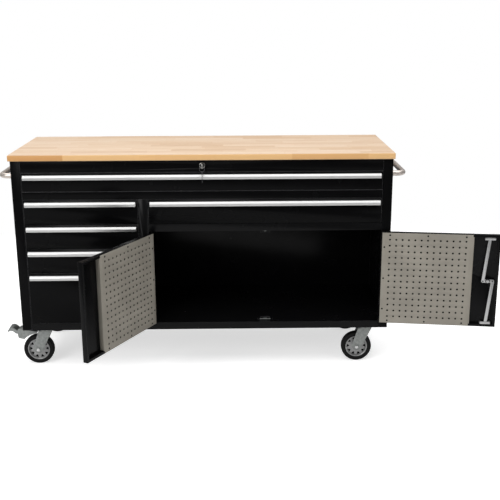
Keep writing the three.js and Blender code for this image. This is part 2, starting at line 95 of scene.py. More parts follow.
def bevelled(mesh, width, segments=2, angle=40):
    """Rounds every edge that is sharper than the angle."""
    if width:
        sharp = [
            edge
            for edge in mesh.edges
            if len(edge.link_faces) == 2 and edge.calc_face_angle(0) > math.radians(angle)
        ]
        bmesh.ops.bevel(
            mesh,
            geom=sharp,
            offset=width,
            segments=segments,
            profile=0.6,
            affect="EDGES",
            clamp_overlap=True,
        )
    return mesh


def block(low, high, bevel=0.6, segments=2):
    """A box between two corners, with rounded edges."""
    low, high = Vector(low), Vector(high)
    mesh = bmesh.new()
    bmesh.ops.create_cube(mesh, size=1)
    size = high - low
    bmesh.ops.scale(mesh, vec=size, verts=mesh.verts)
    bmesh.ops.translate(mesh, vec=(low + high) / 2, verts=mesh.verts)
    return bevelled(mesh, bevel, segments)


TURNS = {
    "X": Matrix(((0, 0, 1), (1, 0, 0), (0, 1, 0))),
    "Y": Matrix(((0, 1, 0), (0, 0, 1), (1, 0, 0))),
    "Z": Matrix.Identity(3),
}


def prism(outline, axis, span, bevel=0.4, segments=2):
    """An outline pushed along an axis. Its points are [y, z] for X, [z, x] for Y and [x, y] for Z."""
    mesh = bmesh.new()
    start = [mesh.verts.new((a, b, span[0])) for a, b in outline]
    face = mesh.faces.new(start)
    pushed = bmesh.ops.extrude_face_region(mesh, geom=[face])
    far_end = [item for item in pushed["geom"] if isinstance(item, bmesh.types.BMVert)]
    bmesh.ops.translate(mesh, vec=(0, 0, span[1] - span[0]), verts=far_end)
    bmesh.ops.transform(mesh, matrix=TURNS[axis].to_4x4(), verts=mesh.verts)
    bmesh.ops.recalc_face_normals(mesh, faces=mesh.faces)
    return bevelled(mesh, bevel, segments)


def lathe(profile, axis, centre=(0, 0, 0), steps=48, bevel=0):
    """A closed profile of [radius, height] points turned about an axis through the centre."""
    mesh = bmesh.new()
    rings = []
    for k in range(steps):
        angle = 2 * math.pi * k / steps
        rings.append([mesh.verts.new((r * math.cos(angle), r * math.sin(angle), h)) for r, h in profile])
    for k in range(steps):
        here, following = rings[k], rings[(k + 1) % steps]
        for i in range(len(profile)):
            j = (i + 1) % len(profile)
            mesh.faces.new((here[i], following[i], following[j], here[j]))
    bmesh.ops.remove_doubles(mesh, verts=mesh.verts, dist=1e-4)
    bmesh.ops.transform(mesh, matrix=TURNS[axis].to_4x4(), verts=mesh.verts)
    bmesh.ops.translate(mesh, vec=centre, verts=mesh.verts)
    bmesh.ops.recalc_face_normals(mesh, faces=mesh.faces)
    return bevelled(mesh, bevel)


def disc(radius, span, axis, centre=(0, 0, 0), bevel=0.5, steps=40):
    """A solid cylinder with rounded rims."""
    low, high = span
    profile = [(0, low), (radius, low), (radius, high), (0, high)]
    return lathe(profile, axis, centre, steps, bevel)


def ring(outer, inner, span, axis, centre=(0, 0, 0), bevel=0.4, steps=48):
    low, high = span
    return lathe([(inner, low), (outer, low), (outer, high), (inner, high)], axis, centre, steps, bevel)


def hex_head(radius, span, axis, centre, bevel=0.5):
    """A bolt head or a nut."""
    return disc(radius, span, axis, centre, bevel, steps=6)


def swept(points, radius, sides=24, closed=False):
    """A round tube along points, with its section carried from one to the next without twist."""
    mesh = bmesh.new()
    points = [Vector(point) for point in points]
    count = len(points)
    side = None
    rings = []
    for i, point in enumerate(points):
        before = points[i - 1] if i or closed else point
        after = points[(i + 1) % count] if i + 1 < count or closed else point
        along = (after - before).normalized()
        side = along.orthogonal() if side is None else side - along * side.dot(along)
        side.normalize()
        up = along.cross(side)
        section = []
        for k in range(sides):
            angle = 2 * math.pi * k / sides
            offset = side * math.cos(angle) + up * math.sin(angle)
            section.append(mesh.verts.new(point + offset * radius))
        rings.append(section)
    for i in range(count if closed else count - 1):
        here, following = rings[i], rings[(i + 1) % count]
        for k in range(sides):
            j = (k + 1) % sides
            mesh.faces.new((here[k], here[j], following[j], following[k]))
    if not closed:
        mesh.faces.new(rings[0])
        mesh.faces.new(rings[-1])
    bmesh.ops.recalc_face_normals(mesh, faces=mesh.faces)
    return mesh


def holed_sheet(outlines, thick, soften=0.15):
    """A flat sheet in XY from its outer outline and the outlines of its holes, centred on z = 0."""
    curve = bpy.data.curves.new("sheet", "CURVE")
    curve.dimensions = "2D"
    curve.fill_mode = "BOTH"
    curve.extrude = thick / 2 - soften
    curve.bevel_depth = soften
    curve.bevel_resolution = 1
    curve.offset = -soften
    for outline in outlines:
        spline = curve.splines.new("POLY")
        spline.points.add(len(outline) - 1)
        for point, (x, y) in zip(spline.points, outline):
            point.co = (x, y, 0, 1)
        spline.use_cyclic_u = True
    holder = bpy.data.objects.new("sheet", curve)
    bpy.context.scene.collection.objects.link(holder)
    filled = bpy.data.meshes.new_from_object(holder)
    mesh = bmesh.new()
    mesh.from_mesh(filled)
    bmesh.ops.remove_doubles(mesh, verts=mesh.verts, dist=1e-3)
    bpy.data.objects.remove(holder)
    bpy.data.curves.remove(curve)
    bpy.data.meshes.remove(filled)
    return mesh


def circle(x, y, radius, steps=16):
    angles = [2 * math.pi * k / steps for k in range(steps)]
    return [(x + radius * math.cos(a), y + radius * math.sin(a)) for a in angles]


def rounded(corners, radius, steps=4):
    """The outline through the corners with each of them rounded. A corner may give its own radius."""
    points = []
    count = len(corners)
    for i, corner in enumerate(corners):
        here = Vector(corner[:2])
        own = corner[2] if len(corner) > 2 else radius
        to_last = (Vector(corners[i - 1][:2]) - here).normalized()
        to_next = (Vector(corners[(i + 1) % count][:2]) - here).normalized()
        half = to_last.angle(to_next) / 2
        reach = own / math.tan(half)
        start, end = here + to_last * reach, here + to_next * reach
        for k in range(steps + 1):
            t = k / steps
            points.append(tuple(start * (1 - t) ** 2 + here * 2 * t * (1 - t) + end * t**2))
    return points


def turned(mesh, angle, axis, about=(0, 0, 0)):
    """The mesh turned by degrees about an axis through a point."""
    spin = Matrix.Rotation(math.radians(angle), 3, axis)
    bmesh.ops.rotate(mesh, cent=about, matrix=spin, verts=mesh.verts)
    return mesh


def moved(mesh, offset):
    bmesh.ops.translate(mesh, vec=offset, verts=mesh.verts)
    return mesh


def piece(name, parts, material, body, place=BODY_FRAME, stands_for=(), smooth=32):
    """Makes one object from parts in millimetres, in a frame that only moves and turns it."""
    mesh = merged(parts if isinstance(parts, list) else [parts])
    bmesh.ops.scale(mesh, vec=(MM, MM, MM), verts=mesh.verts)
    for face in mesh.faces:
        face.smooth = True
    for edge in mesh.edges:
        edge.smooth = len(edge.link_faces) == 2 and edge.calc_face_angle(0) < math.radians(smooth)
    data = bpy.data.meshes.new(name)
    mesh.to_mesh(data)
    mesh.free()
    data.materials.append(material)
    made = bpy.data.objects.new(name, data)
    bpy.context.scene.collection.objects.link(made)
    made.matrix_world = place
    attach(made, body)
    if stands_for:
        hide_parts(*stands_for)
    return made


# Materials


def new_material(name, colour, rough, metal=0.0, specular=0.5):
    material = bpy.data.materials.new(name)
    material.use_nodes = True
    shader = material.node_tree.nodes["Principled BSDF"]
    shader.inputs["Base Color"].default_value = (*colour, 1)
    shader.inputs["Roughness"].default_value = rough
    shader.inputs["Metallic"].default_value = metal
    shader.inputs["Specular IOR Level"].default_value = specular
    return material, shader


def node(material, kind, **sockets):
    made = material.node_tree.nodes.new(kind)
    for name, value in sockets.items():
        made.inputs[name.replace("_", " ")].default_value = value
    return made


def link(material, source, target):
    material.node_tree.links.new(source, target)


def coordinates(material, scale=(1, 1, 1)):
    """Object coordinates, stretched."""
    source = node(material, "ShaderNodeTexCoord")
    mapping = node(material, "ShaderNodeMapping", Scale=scale)
    link(material, source.outputs["Object"], mapping.inputs["Vector"])
    return mapping.outputs["Vector"]


def noise(material, vector, scale, detail=3.0, roughness=0.5):
    made = node(material, "ShaderNodeTexNoise", Scale=scale, Detail=detail, Roughness=roughness)
    link(material, vector, made.inputs["Vector"])
    return made.outputs["Fac"]


def ramp(material, value, stops):
    """Colours or greys from a value; stops are (position, grey or colour)."""
    made = node(material, "ShaderNodeValToRGB")
    link(material, value, made.inputs["Fac"])
    elements = made.color_ramp.elements
    while len(elements) < len(stops):
        elements.new(0.5)
    for element, (position, colour) in zip(elements, stops):
        element.position = position
        element.color = (colour, colour, colour, 1) if isinstance(colour, (int, float)) else (*colour, 1)
    return made.outputs["Color"]


def bump(material, shader, height, strength, distance):
    made = node(material, "ShaderNodeBump", Strength=strength, Distance=distance)
    link(material, height, made.inputs["Height"])
    link(material, made.outputs["Normal"], shader.inputs["Normal"])


def linear(red, green, blue):
    """Linear colour of an sRGB colour given from 0 to 255."""
    parts = [value / 255 for value in (red, green, blue)]
    return tuple(part / 12.92 if part <= 0.04045 else ((part + 0.055) / 1.055) ** 2.4 for part in parts)


def powder_coat(name, colour, rough, specular):
    """Paint baked on steel: fine orange peel, with faint cloudy changes of gloss."""
    material, shader = new_material(name, colour, rough, 0, specular)
    clouds = noise(material, coordinates(material), 9, 4)
    gloss = ramp(material, clouds, [(0.3, rough * 0.85), (0.7, rough * 1.2)])
    link(material, gloss, shader.inputs["Roughness"])
    dark = tuple(c * 0.9 for c in colour)
    bright = tuple(c * 1.1 for c in colour)
    tint = ramp(material, clouds, [(0.3, dark), (0.7, bright)])
    link(material, tint, shader.inputs["Base Color"])
    peel = noise(material, coordinates(material), 700, 2)
    bump(material, shader, peel, 0.12, 0.0002)
    return material


def brushed(name, colour, rough, stretch, metal=1.0):
    """Metal with fine lines along the axis that stretch leaves short."""
    material, shader = new_material(name, colour, rough, metal)
    lines = noise(material, coordinates(material, stretch), 60, 4, 0.7)
    gloss = ramp(material, lines, [(0.3, rough * 0.8), (0.7, rough * 1.25)])
    link(material, gloss, shader.inputs["Roughness"])
    bump(material, shader, lines, 0.04, 0.0001)
    return material


def cast_metal(name, colour, rough, metal=1.0, grain=260, mottle=0.08):
    """Plated or cast metal with an even mottle."""
    material, shader = new_material(name, colour, rough, metal)
    spots = noise(material, coordinates(material), grain, 4, 0.6)
    gloss = ramp(material, spots, [(0.35, rough * 0.8), (0.65, rough * 1.3)])
    link(material, gloss, shader.inputs["Roughness"])
    dark = tuple(c * (1 - mottle) for c in colour)
    bright = tuple(min(1, c * (1 + mottle)) for c in colour)
    shade = ramp(material, spots, [(0.35, dark), (0.65, bright)])
    link(material, shade, shader.inputs["Base Color"])
    bump(material, shader, spots, 0.08, 0.0002)
    return material


def rubber(name):
    material, shader = new_material(name, linear(12, 12, 13), 0.55, 0, 0.2)
    spots = noise(material, coordinates(material), 420, 5, 0.7)
    dust = ramp(material, spots, [(0.35, linear(8, 8, 9)), (0.75, linear(20, 20, 20))])
    link(material, dust, shader.inputs["Base Color"])
    bump(material, shader, spots, 0.2, 0.0003)
    return material


def maths(material, operation, first, second=None):
    made = node(material, "ShaderNodeMath")
    made.operation = operation
    for socket, value in zip(made.inputs, (first, second)):
        if isinstance(value, (int, float)):
            socket.default_value = value
        elif value is not None:
            link(material, value, socket)
    return made.outputs[0]


def mixed(material, amount, first, second, blend="MIX"):
    """Two colours mixed; the amount may be a number or a socket."""
    made = node(material, "ShaderNodeMix")
    made.data_type = "RGBA"
    made.blend_type = blend
    sockets = (made.inputs["Factor"], made.inputs[6], made.inputs[7])
    for socket, value in zip(sockets, (amount, first, second)):
        if isinstance(value, (int, float)):
            socket.default_value = value
        elif isinstance(value, tuple):
            socket.default_value = (*value, 1)
        else:
            link(material, value, socket)
    return made.outputs[2]


STAVE = {"wide": 0.040, "long": 0.30, "seam": 0.0006}
TOP_TONES = [
    (0.0, linear(208, 182, 154)),
    (0.4, linear(219, 197, 172)),
    (0.75, linear(224, 205, 184)),
    (1.0, linear(213, 189, 163)),
]
# Tones for the upright faces: painted shade, darker and more orange than the top, standing in for the sheen
# the top catches from above.
SIDE_PAINTED_SHADE_TONES = [
    (0.0, linear(218, 162, 100)),
    (0.45, linear(240, 194, 134)),
    (0.8, linear(228, 174, 112)),
    (1.0, linear(244, 206, 150)),
]


def butcher_block(name):
    """Edge-glued staves along X, finger-jointed end to end, each with its own tone and piece of grain.
    Upright faces are painted a darker orange than the top: painted shade standing in for the pale sheen the
    top catches.
    """
    material, shader = new_material(name, linear(240, 212, 180), 0.42, 0, 0.4)
    place = node(material, "ShaderNodeTexCoord").outputs["Object"]
    split = node(material, "ShaderNodeSeparateXYZ")
    link(material, place, split.inputs["Vector"])
    x, y, z = split.outputs
    across = maths(material, "DIVIDE", y, STAVE["wide"])
    row = maths(material, "FLOOR", across)
    shift = node(material, "ShaderNodeTexWhiteNoise")
    shift.noise_dimensions = "1D"
    link(material, row, shift.inputs["W"])
    along = maths(material, "DIVIDE", x, STAVE["long"])
    along = maths(material, "ADD", along, maths(material, "MULTIPLY", shift.outputs["Value"], 5.0))
    column = maths(material, "FLOOR", along)
    by_row = maths(material, "MULTIPLY", row, 17.31)
    number = maths(material, "ADD", by_row, maths(material, "MULTIPLY", column, 3.77))
    own = node(material, "ShaderNodeTexWhiteNoise")
    own.noise_dimensions = "1D"
    link(material, number, own.inputs["W"])
    tone = ramp(material, own.outputs["Value"], TOP_TONES)
    warp = node(material, "ShaderNodeCombineXYZ")
    link(material, maths(material, "MULTIPLY", own.outputs["Value"], 40.0), warp.inputs["Z"])
    shifted = node(material, "ShaderNodeVectorMath")
    link(material, place, shifted.inputs[0])
    link(material, warp.outputs["Vector"], shifted.inputs[1])
    stretched = node(material, "ShaderNodeMapping", Scale=(1.0, 22.0, 22.0))
    link(material, shifted.outputs["Vector"], stretched.inputs["Vector"])
    grain = noise(material, stretched.outputs["Vector"], 9, 6, 0.65)
    pores = noise(material, stretched.outputs["Vector"], 46, 3, 0.6)
    streaks = ramp(material, grain, [(0.38, 0.0), (0.66, 0.34)])
    grained = mixed(material, streaks, tone, linear(226, 186, 142), "MULTIPLY")
    flecks = ramp(material, pores, [(0.52, 0.0), (0.72, 0.25)])
    flecked = mixed(material, flecks, grained, linear(190, 138, 88), "MULTIPLY")
    seam = maths(material, "ABSOLUTE", maths(material, "SUBTRACT", maths(material, "FRACT", across), 0.5))
    ends = maths(material, "ABSOLUTE", maths(material, "SUBTRACT", maths(material, "FRACT", along), 0.5))
    seam = maths(material, "GREATER_THAN", seam, 0.5 - STAVE["seam"] / STAVE["wide"])
    ends = maths(material, "GREATER_THAN", ends, 0.5 - STAVE["seam"] / STAVE["long"])
    joint = maths(material, "MAXIMUM", seam, ends)
    jointed = mixed(material, maths(material, "MULTIPLY", joint, 0.45), flecked, linear(196, 146, 98))
    normal = node(material, "ShaderNodeNewGeometry").outputs["Normal"]
    facing = node(material, "ShaderNodeSeparateXYZ")
    link(material, normal, facing.inputs["Vector"])
    # Faces that stand upright take the darker side tones: painted shade set by which way a face points.
    edge = ramp(material, maths(material, "ABSOLUTE", facing.outputs["Z"]), [(0.2, 1.0), (0.7, 0.0)])
    side_painted_shade_tone = ramp(material, own.outputs["Value"], SIDE_PAINTED_SHADE_TONES)
    colour = mixed(material, edge, jointed, mixed(material, 0.95, flecked, side_painted_shade_tone))
    link(material, colour, shader.inputs["Base Color"])
    gloss = ramp(material, grain, [(0.3, 0.36), (0.7, 0.5)])
    link(material, gloss, shader.inputs["Roughness"])
    bump(material, shader, grain, 0.06, 0.0004)
    return material


WOOD = butcher_block("butcher_block")
BLACK = powder_coat("black_powder_coat", linear(9, 9, 10), 0.24, 0.07)
# A lighter, glossier black for the rounded edges: a painted highlight along every edge of the black parts.
EDGE_PAINTED_HIGHLIGHT = powder_coat("black_powder_coat_painted_edge_highlight", linear(66, 66, 68), 0.3, 0.5)
INNER_BLACK = powder_coat("black_powder_coat_inside", linear(12, 12, 13), 0.24, 0.12)
GREY = powder_coat("grey_powder_coat", linear(150, 145, 135), 0.42, 0.25)
ALUMINIUM = brushed("satin_aluminium", linear(202, 202, 201), 0.36, (0.4, 30, 30))
STAINLESS = brushed("satin_stainless", linear(222, 212, 204), 0.3, (12, 2, 12), 0.65)
ZINC = cast_metal("zinc_plate", linear(196, 196, 196), 0.34)
CASTER_STEEL = cast_metal("caster_zinc", linear(152, 155, 153), 0.4, 0.9, 90, 0.22)
WHEEL = cast_metal("wheel_silver", linear(172, 172, 172), 0.42, 0.7)
NICKEL = cast_metal("nickel_plate", linear(176, 175, 171), 0.24)
HUB_STEEL = cast_metal("axle_bolt", linear(236, 236, 236), 0.2)
GUNMETAL = cast_metal("lock_face", linear(62, 62, 64), 0.35, 0.9)
KEY_STEEL = cast_metal("key_steel", linear(84, 84, 86), 0.4, 0.6)
RUBBER = rubber("black_rubber")


# CAD nodes that stay, with rounded edges


def keep(name, material, width=0.6, segments=2):
    """A CAD node that stays visible, welded and with its edges rounded; on black parts the rounded edges
    take a lighter paint, a painted highlight.
    """
    shown = frame["nodes"][name]
    shown.data.materials.clear()
    shown.data.materials.append(material)
    # Black parts get a second, lighter paint on their bevels: painted edge highlights.
    if material in (BLACK, INNER_BLACK):
        shown.data.materials.append(EDGE_PAINTED_HIGHLIGHT)
    weld = shown.modifiers.new("weld", "WELD")
    weld.merge_threshold = 0.00002
    edges = shown.modifiers.new("round", "BEVEL")
    edges.width = width * MM
    edges.segments = segments
    edges.limit_method = "ANGLE"
    edges.angle_limit = math.radians(40)
    edges.harden_normals = True
    edges.material = len(shown.data.materials) - 1
    for polygon in shown.data.polygons:
        polygon.use_smooth = True


drawers = ["top_drawer", "left_drawer_1", "left_drawer_2", "left_drawer_3", "left_drawer_4", "right_drawer"]
for name in ["left_side_panel", "right_side_panel", "front_header", "drawer_divider", *drawers]:
    keep(name, BLACK)
for name in ["back_panel", "base_panel", "cupboard_ceiling", "centre_partition", "left_door", "right_door"]:
    keep(name, INNER_BLACK)
for name in ["left_side_slides", "right_side_slides", "partition_left_slides", "partition_right_slides"]:
    keep(name, ZINC)
for name in ["door_keeper_upper", "door_keeper_lower"]:
    keep(name, INNER_BLACK, 0.4)


def striker(end, name):
    """The bright stop that both doors close on: a raised middle with a wing at each side."""
    low, high = local_box(f"door_keeper_{name}")
    x = (low.x + high.x) / 2
    root = high.z - 1.2 if end > 0 else low.z + 3.4
    half = 8 if end > 0 else 22
    step = -end
    outline = [
        (root, x - half), (root, x + half),
        (root + step * 5.2, x + half), (root + step * 3.6, x + half * 0.4),
        (root + step * 6, x + half * 0.3), (root + step * 6, x - half * 0.3),
        (root + step * 3.6, x - half * 0.4), (root + step * 5.2, x - half),
    ]
    bar = prism(outline, "Y", (low.y - 3.4, low.y - 0.4), 0.5)
    piece(f"striker_{name}", bar, CASTER_STEEL, "cabinet")


striker(1, "upper")
striker(-1, "lower")


# Worktop


def worktop():
    low, high = local_box("worktop")
    piece("worktop_block", block(low, high, 3.0, 4), WOOD, "cabinet", stands_for=["worktop"])


worktop()


# Pulls


def pull(drawer):
    """An aluminium strip that curves forward from the drawer's front and down to a lip."""
    low, high = local_box(f"{drawer}_pull")
    wall = 1.8
    depth, drop = high.y - low.y, high.z - low.z
    outside = [
        (high.y, low.z, 0.5), (high.y, high.z, 0.6), (low.y + depth * 0.3, high.z, 2.5),
        (low.y + 0.2, high.z - drop * 0.46, 0.8), (low.y + 1.6, low.z + 0.6, 0.9), (low.y + 2.4, low.z, 0.4),
    ]
    inside = [
        (low.y + 1.6 + wall, low.z, 0.6), (low.y + wall, high.z - drop * 0.5, 0.8),
        (low.y + depth * 0.34, high.z - wall, 2), (high.y - wall, high.z - wall, 1.5),
        (high.y - wall, low.z, 0.6),
    ]
    strip = prism(rounded(outside + inside, 1, 5), "X", (low.x, high.x), 0.45, 2)
    piece(f"{drawer}_pull_strip", strip, ALUMINIUM, drawer, stands_for=[f"{drawer}_pull"])


for name in drawers:
    pull(name)


# Push handles


def bent(points, radius, steps=10):
    """The line through the points with its inner corners rounded."""
    line = [Vector(points[0])]
    for before, here, after in zip(points, points[1:], points[2:]):
        before, here, after = Vector(before), Vector(here), Vector(after)
        back, on = (before - here).normalized(), (after - here).normalized()
        half = back.angle(on) / 2
        reach = radius / math.tan(half)
        centre = here + (back + on).normalized() * radius / math.sin(half)
        start, end = here + back * reach - centre, here + on * reach - centre
        for k in range(steps + 1):
            line.append(centre + arc(start, end, k / steps))
    line.append(Vector(points[-1]))
    return line


def arc(start, end, share):
    """The vector that far round from start to end."""
    angle = start.angle(end)
    return (start * math.sin((1 - share) * angle) + end * math.sin(share * angle)) / math.sin(angle)


def push_handle(side, name):
    low, high = local_box(f"{name}_push_handle")
    panel_low, panel_high = local_box(f"{name}_side_panel")
    panel = panel_low.x if side < 0 else panel_high.x
    reach = (high.x - low.x) - 0.3
    middle = (low.z + high.z) / 2
    radius = 11
    flange = 22
    front, back = low.y + flange, high.y - flange
    out = panel + side * (reach + 0.3 - radius)
    foot = panel + side * 3
    corners = [(foot, front), (out, front), (out, back), (foot, back)]
    path = bent([(x, y, middle) for x, y in corners], 34)
    parts = [swept(path, radius, 28)]
    for y in (front, back):
        spans = sorted([panel + side * 0.3, panel + side * 4.5])
        collars = sorted([panel + side * 4, panel + side * 9])
        parts.append(disc(flange, spans, "X", (0, y, middle), 0.8, 48))
        parts.append(ring(radius + 3, radius - 0.5, collars, "X", (0, y, middle), 1.2))
        for angle in (90, 210, 330):
            a = math.radians(angle)
            at = (0, y + 17.2 * math.cos(a), middle + 17.2 * math.sin(a))
            parts.append(disc(2.6, sorted([panel + side * 4.4, panel + side * 6.2]), "X", at, 0.8, 16))
    piece(
        f"{name}_push_rail", parts, STAINLESS, "cabinet",
        stands_for=[f"{name}_push_handle"],
    )


push_handle(-1, "left")
push_handle(1, "right")


# Lock and keys


def lock():
    low, high = local_box("drawer_lock")
    x, z = (low.x + high.x) / 2, (low.z + high.z) / 2
    front = low.y
    rim = [
        (9.4, front + 0.8), (10.2, front), (11.4, front + 0.4), (11.9, front + 2.6),
        (9.2, front + 2.7), (9.2, 22), (8.9, 22),
    ]
    bezel = lathe(rim, "Y", (x, 0, z), 56)
    core = [(4.9, front + 1.2), (8.4, front + 0.9), (8.8, front + 1.6), (8.8, 20), (4.9, 20)]
    face = lathe(core, "Y", (x, 0, z), 48)
    piece("lock_bezel", bezel, NICKEL, "cabinet", stands_for=["drawer_lock"])
    piece("lock_face", face, GUNMETAL, "cabinet")


def keys():
    low, high = local_box("key")
    lock_low, lock_high = local_box("drawer_lock")
    x, z = (low.x + high.x) / 2, (lock_low.z + lock_high.z) / 2
    bow = holed_sheet([circle(-23, 0, 11, 40), circle(-30, 0, 2.6, 20)], 2)
    bow = turned(turned(bow, 90, "Z"), 90, "Y")
    bow = moved(bow, (x, 0, z))
    blade = block((x - 0.8, -13.5, z - 3.4), (x + 0.8, 16.5, z + 3.4), 0.4)
    plug = disc(4.4, (-2.2, 19), "Y", (x, 0, z), 0.4, 32)
    return [bow, blade, plug]


lock()
key_parts = keys()
piece("key_in_lock", key_parts, NICKEL, "key", stands_for=["key"])


def spare_key():
    low, high = local_box("key_ring")
    x = (low.x + high.x) / 2
    y = (low.y + high.y) / 2
    top = high.z - 0.9
    radius = 10
    centre = top - radius
    angles = [2 * math.pi * k / 40 for k in range(40)]
    loop = [(x + radius * math.cos(a), y, centre + radius * math.sin(a)) for a in angles]
    wire = swept(loop, 0.9, 10, True)
    bow = holed_sheet([circle(0, 0, 9, 36), circle(0, 5.4, 2.2, 18)], 2)
    bow = turned(turned(bow, 90, "X"), 90, "Z")
    bow = moved(bow, (x, y, centre - radius - 7))
    teeth = [
        (-3.6, 0), (-3.6, -24), (-1.5, -31), (1.2, -31), (2.0, -28), (3.6, -26),
        (2.4, -23), (3.6, -20), (2.0, -17), (3.6, -14), (3.6, 0),
    ]
    blade = prism([(y + a, centre - radius - 13 + b) for a, b in teeth], "X", (x - 0.8, x + 0.8), 0.2, 1)
    return [wire, bow, blade]


piece("ring_and_spare_key", spare_key(), KEY_STEEL, "key_ring", stands_for=["key_ring"])


# Doors, each in its own frame: hinge axis at the origin, u away from it, y inward


def door_frame(side, name):
    hinge = joints[f"{name}_door_hinge"]
    opened = hinge["range_deg"][1]
    turn = Matrix.Rotation(math.radians(-side * opened), 4, "Z")
    return Matrix.Translation(Vector((*hinge["pos_m"][:2], 0))) @ turn


LEFT_DOOR = door_frame(1, "left")
RIGHT_DOOR = door_frame(-1, "right")
DOOR = {"low": 199, "high": 583, "width": 467, "outer": 3.5, "board_y": 23.8, "board_thick": 1.2}
PEG = {"columns": 13, "rows": 14, "pitch": 25, "radius": 3.9, "first": 33.5, "from": 3, "to": 364}


def pegboard(side, place, name):
    """A sheet with its grid of round holes, fixing screws, and a folded edge on its free side."""
    low, high = DOOR["low"] + 1, DOOR["high"] - 1
    middle = (low + high) / 2
    start, end = PEG["from"], PEG["to"]
    bend = end - 9
    corners = [(start, low), (bend, low), (bend, high), (start, high)]
    outlines = [rounded([(side * u, z) for u, z in corners], 1)]
    for column in range(PEG["columns"]):
        for row in range(PEG["rows"]):
            z = middle + (row - (PEG["rows"] - 1) / 2) * PEG["pitch"]
            outlines.append(circle(side * (PEG["first"] + column * PEG["pitch"]), z, PEG["radius"]))
    sheet = turned(holed_sheet(outlines, DOOR["board_thick"], 0.2), 90, "X")
    y = DOOR["board_y"] + DOOR["board_thick"] / 2
    parts = [moved(sheet, (0, y, 0))]
    last = PEG["first"] + (PEG["columns"] - 1) * PEG["pitch"]
    half = (PEG["first"] + last) / 2
    back = DOOR["board_y"]
    face = back + DOOR["board_thick"]
    slope = [
        (bend - 1, back + 0.1), (bend, back), (end - 1, back - 2.2),
        (end, back - 1.4), (bend, face), (bend - 1, face - 0.1),
    ]
    parts.append(prism([(side * u, v) for u, v in slope], "Z", (low, high), 0.2))
    flange = sorted([side * (end - 1.2), side * end])
    parts.append(block((flange[0], DOOR["outer"] + 2.2, low + 11), (flange[1], back - 1.6, high - 11), 0.3))
    spots = [(u, z) for u in (PEG["first"], half, last) for z in (low + 10, high - 10)]
    spots += [(start + 9, z) for z in (low + 60, middle, high - 60)]
    dome = [(0, 0), (3.6, 0), (3.2, 0.7), (1.8, 1.15), (0, 1.2)]
    screws = [lathe(dome, "Y", (side * u, face, z), 24) for u, z in spots]
    piece(f"{name}_pegboard_screws", screws, INNER_BLACK, f"{name}_door", place)
    piece(
        f"{name}_pegboard_sheet", parts, GREY, f"{name}_door", place,
        stands_for=[f"{name}_pegboard"],
    )


pegboard(1, LEFT_DOOR, "left")
pegboard(-1, RIGHT_DOOR, "right")


def hinge_pins(side, place, name):
    """Round barrels over the door's knuckles."""
    barrels = []
    for z in (270, 512):
        barrels.append(disc(3.0, (z + 0.3, z + 29.7), "Z", (0, 0, 0), 0.4, 28))
    piece(f"{name}_hinge_barrels", barrels, INNER_BLACK, f"{name}_door", place)


hinge_pins(1, LEFT_DOOR, "left")
hinge_pins(-1, RIGHT_DOOR, "right")

LATCH = {"u": 427, "z": 391, "throw": 19, "end": 189, "guide": 176, "rod_y": 18.4, "rod_thick": 2.5}
latch_x = -LATCH["u"]
cam_y = 12 + DOOR["outer"]


def latch_cam():
    z = LATCH["z"]
    throw = LATCH["throw"]
    reach = throw + 6
    lobes = [(z + v, latch_x + u) for v, u in ((-7, -reach), (7, -reach), (7, reach), (-7, reach))]
    plate = prism(rounded(lobes, 6.5, 6), "Y", (cam_y, cam_y + 2.5), 0.4)
    washer = disc(9.5, (cam_y + 2, cam_y + 3.2), "Y", (latch_x, 0, z), 0.3, 40)
    pin_span = (cam_y + 2, cam_y + 6.3)
    pins = [disc(2.4, pin_span, "Y", (latch_x + end * throw, 0, z), 0.4, 20) for end in (-1, 1)]
    nut = hex_head(6.8, (cam_y + 3, cam_y + 7.6), "Y", (latch_x, 0, z), 0.9)
    piece(
        "latch_cam_plate", [plate, nut], ZINC, "latch", RIGHT_DOOR,
        stands_for=["latch_cam"],
    )
    piece("latch_cam_washer", [washer, *pins], GUNMETAL, "latch", RIGHT_DOOR)


def latch_rod(end, name):
    """A flat strip with a round eye on the cam's pin and a tapered tip behind the rail."""
    length = math.hypot(LATCH["throw"], LATCH["end"])
    outline = [(-6, 0)]
    for k in range(1, 12):
        a = math.pi + math.pi * k / 12
        outline.append((6 * math.cos(a), 6 * math.sin(a)))
    outline += [(6, 0), (6, length - 5), (3.5, length - 0.3), (-3.5, length - 0.3), (-6, length - 5)]
    hole = circle(0, 0, 2.9, 20)
    strip = turned(holed_sheet([outline, hole], LATCH["rod_thick"], 0.3), 90, "X")
    tilt = math.degrees(math.atan2(LATCH["throw"], LATCH["end"]))
    strip = turned(strip, -tilt + (0 if end > 0 else 180), "Y")
    y = LATCH["rod_y"] + LATCH["rod_thick"] / 2
    strip = moved(strip, (latch_x + end * LATCH["throw"], y, LATCH["z"]))
    piece(
        f"{name}_rod_strip", strip, ZINC, f"{name}_rod", RIGHT_DOOR,
        stands_for=[f"latch_rod_{name}"],
    )


def rod_guide(end, name):
    z = LATCH["z"] + end * LATCH["guide"]
    half, slot = 21, 13
    outer = DOOR["outer"]
    bridge = [
        (-half, 1.8, 0.4), (-half, 19.4, 2), (half, 19.4, 2), (half, 1.8, 0.4),
        (half - 4, 1.8, 0.4), (half - 4, 12.9, 1), (slot, 12.9, 1), (slot, 17.9, 0.5),
        (-slot, 17.9, 0.5), (-slot, 12.9, 1), (-half + 4, 12.9, 1), (-half + 4, 1.8, 0.4),
    ]
    outline = rounded([(latch_x + u, outer + v, corner) for u, v, corner in bridge], 0.4, 3)
    strap = prism(outline, "Z", (z - 5, z + 5), 0.4)
    dome = [(0, 0), (3.4, 0), (3.0, 0.7), (1.5, 1.1), (0, 1.2)]
    screws = [lathe(dome, "Y", (latch_x + offset, outer + 19.3, z), 20) for offset in (-17, 17)]
    piece(
        f"rod_guide_{name}_strap", [strap, *screws], ZINC, "right_door", RIGHT_DOOR,
        stands_for=[f"rod_guide_{name}"],
    )


